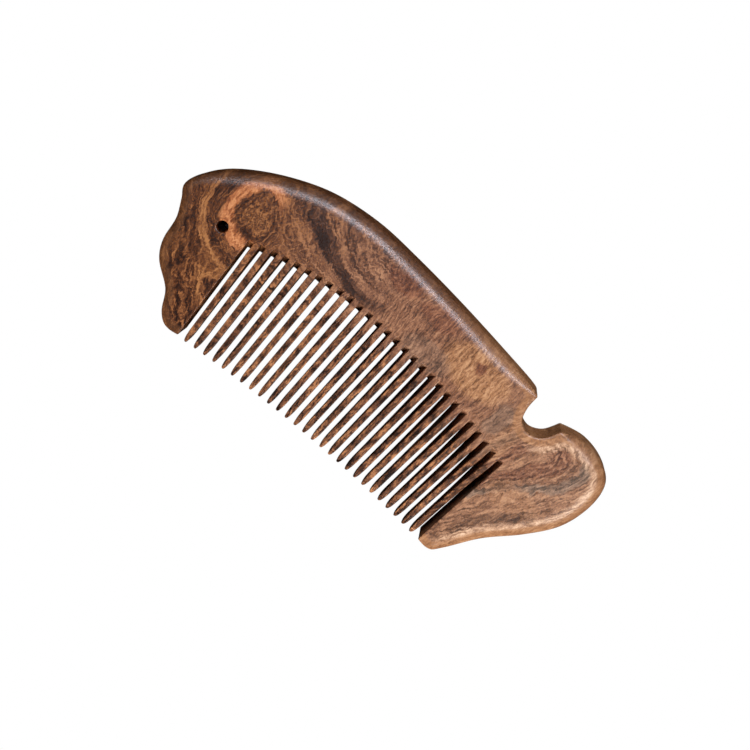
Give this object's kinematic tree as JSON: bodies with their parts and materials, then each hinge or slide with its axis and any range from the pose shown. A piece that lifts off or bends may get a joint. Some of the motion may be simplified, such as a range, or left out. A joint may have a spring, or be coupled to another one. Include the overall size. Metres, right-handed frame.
{
  "type": "beard comb",
  "caption": "Fish-shaped wooden pocket comb with a drilled eye, a notched tail and fanned fine teeth between two solid ends.",
  "frame": {"origin": "centre of the comb's footprint on the surface that it lies on", "axes": "+X from the fish's head to its tail, +Y from the tooth tips to the spine, +Z out of the front face"},
  "size_m": [0.1299, 0.0566, 0.009],
  "materials": {
    "back_wood": "satin",
    "tooth_wood": "satin"
  },
  "bodies": {
    "root": {"comb_back": "back_wood", "tooth_01": "tooth_wood", "tooth_02": "tooth_wood", "tooth_03": "tooth_wood", "tooth_04": "tooth_wood", "tooth_05": "tooth_wood", "tooth_06": "tooth_wood", "tooth_07": "tooth_wood", "tooth_08": "tooth_wood", "tooth_09": "tooth_wood", "tooth_10": "tooth_wood", "tooth_11": "tooth_wood", "tooth_12": "tooth_wood", "tooth_13": "tooth_wood", "tooth_14": "tooth_wood", "tooth_15": "tooth_wood", "tooth_16": "tooth_wood", "tooth_17": "tooth_wood", "tooth_18": "tooth_wood", "tooth_19": "tooth_wood", "tooth_20": "tooth_wood", "tooth_21": "tooth_wood", "tooth_22": "tooth_wood", "tooth_23": "tooth_wood", "tooth_24": "tooth_wood", "tooth_25": "tooth_wood", "tooth_26": "tooth_wood", "tooth_27": "tooth_wood"}
  },
  "joints": []
}
